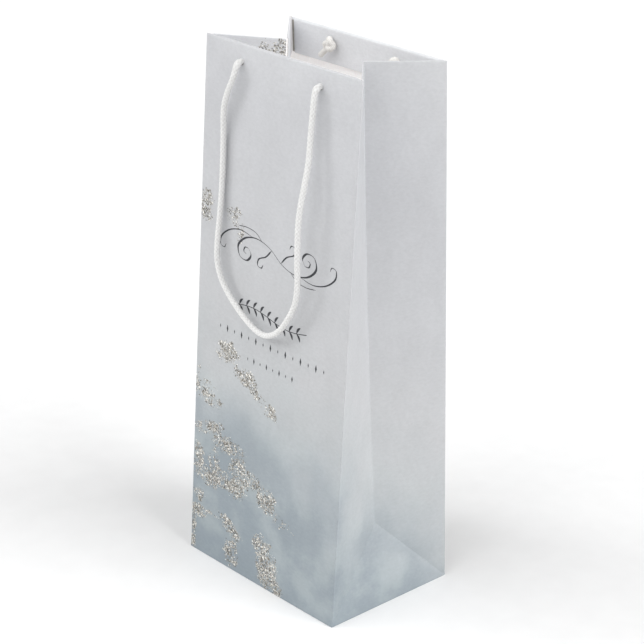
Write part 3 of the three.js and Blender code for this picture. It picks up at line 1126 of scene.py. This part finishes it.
def add_base_card():
    """The loose card on the floor of the bag, with worn corners and a slight warp."""
    low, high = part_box("base_card")
    half = Vector(((high.x - low.x) / 2, (high.y - low.y) / 2, 0))
    radius = 2.5 * MM
    rows = []
    for v in steps_between(-1, 1, 32):
        y = v * half.y
        cut = max(0.0, abs(y) - (half.y - radius))
        width = half.x - radius + math.sqrt(max(0.0, radius * radius - cut * cut))
        row = []
        for u in steps_between(-1, 1, 40):
            warp = 0.25 * MM * (u * u + v * v) / 2
            row.append(Vector((u * width, y, high.z + warp)))
        rows.append(row)
    card = paper_sheet("base_card", rows, Vector((0, 0, 1)), "card", "card", high.z - low.z)
    edges = card.modifiers.new("edges", "BEVEL")
    edges.width = 0.2 * MM
    edges.segments = 2
    settle(card)
    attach(card, "base")
    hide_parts("base_card")


def add_seam():
    """The glued strip that closes the sheet into a tube, inside the back wall."""
    low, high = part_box("back_seam_strip")
    columns = steps_between(low.x, high.x, 8)
    levels = steps_between(low.z, high.z, 50)
    rows = [[wall_point(x, z, 1, PAPER + 0.1 * MM) for x in columns] for z in levels]
    strip = paper_sheet("back_seam_strip", rows, Vector((0, 1, 0)), "plain")
    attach(strip, "back_wall")
    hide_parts("back_seam_strip")


# ---------- printed ornament


def ribbon(bm, points, widths):
    """A flat stroke of ink on the front wall, from points across and up in millimetres."""
    count = len(points)
    edges = []
    for i, (x, z) in enumerate(points):
        before = points[max(i - 1, 0)]
        after = points[min(i + 1, count - 1)]
        along = Vector((after[0] - before[0], after[1] - before[1])).normalized()
        aside = Vector((-along.y, along.x)) * (widths[i] / 2)
        pair = []
        for sign in (1, -1):
            px = (x + aside.x * sign) * MM
            pz = (z + aside.y * sign) * MM
            pair.append(bm.verts.new(wall_point(px, pz, -1, -0.03 * MM)))
        edges.append(pair)
    for (a, b), (c, d) in zip(edges, edges[1:]):
        bm.faces.new((a, b, d, c))


def pen_stroke(points, centre, turned, thin, thick):
    """A smooth pen stroke through points about a centre, as they are or turned half round."""
    sign = -1 if turned else 1
    placed = [Vector((centre[0] + sign * x, 0, centre[1] + sign * z)) for x, z in points]
    path = smooth_path(placed, 0.5)[0]
    headings = []
    for i in range(len(path)):
        along = path[min(i + 1, len(path) - 1)] - path[max(i - 1, 0)]
        headings.append(math.atan2(along.z, along.x))
    return [(p.x, p.z) for p in path], pen_widths(headings, thin, thick)


def pen_widths(headings, thin, thick, slant=1.05):
    """A broad nib's widths: thick on the strokes that run with its slant, and pointed at both ends."""
    last = len(headings) - 1
    widths = []
    for i, angle in enumerate(headings):
        press = abs(math.sin(angle - slant + math.pi / 2)) ** 2.2
        taper = min(1.0, 8 * i / last + 0.15, 8 * (last - i) / last + 0.15)
        widths.append((thin + (thick - thin) * press) * taper)
    return widths


def leaf(start, angle, length, width):
    """A leaf's midline, bowed a little, and its widths."""
    points = []
    widths = []
    for t in steps_between(0, 1, 14):
        sway = 0.12 * length * math.sin(math.pi * t)
        points.append(
            (
                start[0] + math.cos(angle) * length * t - math.sin(angle) * sway,
                start[1] + math.sin(angle) * length * t + math.cos(angle) * sway,
            )
        )
        widths.append(width * math.sin(math.pi * t) ** 0.8 + 0.05)
    return points, widths


def ornament_piece(name, strokes):
    """One printed piece: flat strokes of ink a hair proud of the front wall."""
    bm = bmesh.new()
    for points, widths in strokes:
        ribbon(bm, points, widths)
    bmesh.ops.recalc_face_normals(bm, faces=bm.faces)
    mesh = bpy.data.meshes.new(name)
    bm.to_mesh(mesh)
    bm.free()
    piece = link(name, mesh)
    solid = piece.modifiers.new("film", "SOLIDIFY")
    solid.thickness = 0.02 * MM
    settle(piece)
    piece.data.materials.append(MATERIALS["ink"])
    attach(piece, "front_wall")


# One half of the flourish about its middle, with each stroke's widest width, in millimetres. The
# other half is this one turned half round.
FLOURISH = [
    (
        [(-2, 1.2), (6, -3.6), (17, -6), (27, -3.6), (32.5, 2.2)]
        + [(30.5, 8), (24.5, 8.8), (21.2, 5), (23.4, 1.4)],
        1.5,
    ),
    ([(23.4, 1.4), (26.6, 1.6), (27.4, 4.2), (25.2, 5.2)], 0.9),
    ([(20, -5.9), (31, -7.4), (41.5, -4.4), (47.8, 1.4), (47.6, 5.8), (44.4, 6.4), (43.2, 4)], 1.1),
    ([(4, -2.6), (8.5, 2.2), (14.6, 5.4), (15.2, 9), (12, 9.8), (10.6, 7.6)], 1.0),
    ([(12, -5.3), (17.5, -9.2), (25.5, -10.4), (33, -9.6)], 0.8),
]


def add_ornament():
    """A scrolled flourish, a sprig and two rows of lozenges, printed in dark ink."""
    flourish = []
    for points, thick in FLOURISH:
        for turned in (False, True):
            flourish.append(pen_stroke(points, (3.5, 205.5), turned, 0.3, thick))
    ornament_piece("front_flourish", flourish)

    sprig = []
    stem = []
    for i in range(61):
        t = i / 60
        stem.append((-30 + 61 * t, 168 + 2.2 * math.sin(2 * math.pi * t)))
    sprig.append((stem, [0.45] * len(stem)))
    for i in range(4, 57, 6):
        x, z = stem[i]
        for sign in (1, -1):
            sprig.append(leaf((x, z), sign * 0.95, 5.2, 1.5))
    ornament_piece("front_sprig", sprig)

    for name, level, reach, count, size in (
        ("front_lozenges", 151, 44, 15, 2.3),
        ("front_small_lozenges", 138.5, 19, 8, 1.9),
    ):
        strokes = []
        for i in range(count):
            x = 2 - reach + 2 * reach * i / (count - 1)
            tall = size * (1.0 if i % 2 else 0.55)
            shares = steps_between(-1, 1, 6)
            widths = [tall * 0.62 * (1 - abs(t)) + 0.05 for t in shares]
            strokes.append(([(x, level + tall * t) for t in shares], widths))
        ornament_piece(name, strokes)


# ---------- studio

SKY = 0.26
# The pale wall round the studio reaches up to here, as the sine of its elevation, then fades to the sky
WALL_TOP = (0.11, 0.15)
# Name, azimuth from the front towards the right, elevation, angular size (degrees), strength
SOFT_LIGHTS = [
    ("overhead", -12, 54, 58, 0.51),
    ("key", -54, 26, 20, 0.27),
    ("fill", 108, 38, 50, 0.745),
]


def add_studio():
    world = bpy.data.worlds.new("studio")
    bpy.context.scene.world = world
    world.use_nodes = True
    tree = world.node_tree
    sky = tree.nodes["Background"]
    sky.inputs["Color"].default_value = (1.0, 1.0, 1.0, 1)
    split = tree.nodes.new("ShaderNodeSeparateXYZ")
    tree.links.new(tree.nodes.new("ShaderNodeTexCoord").outputs["Generated"], split.inputs[0])
    fade = tree.nodes.new("ShaderNodeMapRange")
    tree.links.new(split.outputs["Z"], fade.inputs["Value"])
    levels = {"From Min": WALL_TOP[0], "From Max": WALL_TOP[1], "To Min": 1.0, "To Max": SKY}
    for socket, value in levels.items():
        fade.inputs[socket].default_value = value
    tree.links.new(fade.outputs["Result"], sky.inputs["Strength"])
    bpy.context.scene.view_settings.view_transform = "Standard"

    for name, azimuth, elevation, spread, strength in SOFT_LIGHTS:
        data = bpy.data.lights.new(name, "SUN")
        data.angle = math.radians(spread)
        data.energy = strength * math.pi
        light = bpy.data.objects.new(name, data)
        bpy.context.scene.collection.objects.link(light)
        light.rotation_mode = "QUATERNION"
        light.rotation_quaternion = bearing(azimuth, elevation).to_track_quat("Z", "Y")

    bm = bmesh.new()
    bmesh.ops.create_grid(bm, x_segments=8, y_segments=8, size=6)
    mesh = bpy.data.meshes.new("floor")
    bm.to_mesh(mesh)
    bm.free()
    floor = link("floor", mesh)
    nodes = Nodes("floor")
    speck = nodes.noise(nodes.position(), 60.0, 3.0)
    tone = nodes.ramp(speck, [(0.3, (0.86, 0.86, 0.86)), (0.7, (0.88, 0.88, 0.88))])
    mesh.materials.append(nodes.finish(Base_Color=tone, Roughness=0.8))


add_camera()
for wall_name, wall_side in SIDES.items():
    add_handle(wall_name, wall_side)
for wall_name, wall_side in SIDES.items():
    add_wall(wall_name, wall_side)
for side_name, side_hand in HANDS.items():
    for wall_name, wall_side in SIDES.items():
        add_gusset(side_name, side_hand, wall_name, wall_side)
    add_foot(side_name, side_hand)
add_base()
add_seam()
add_ornament()
add_studio()
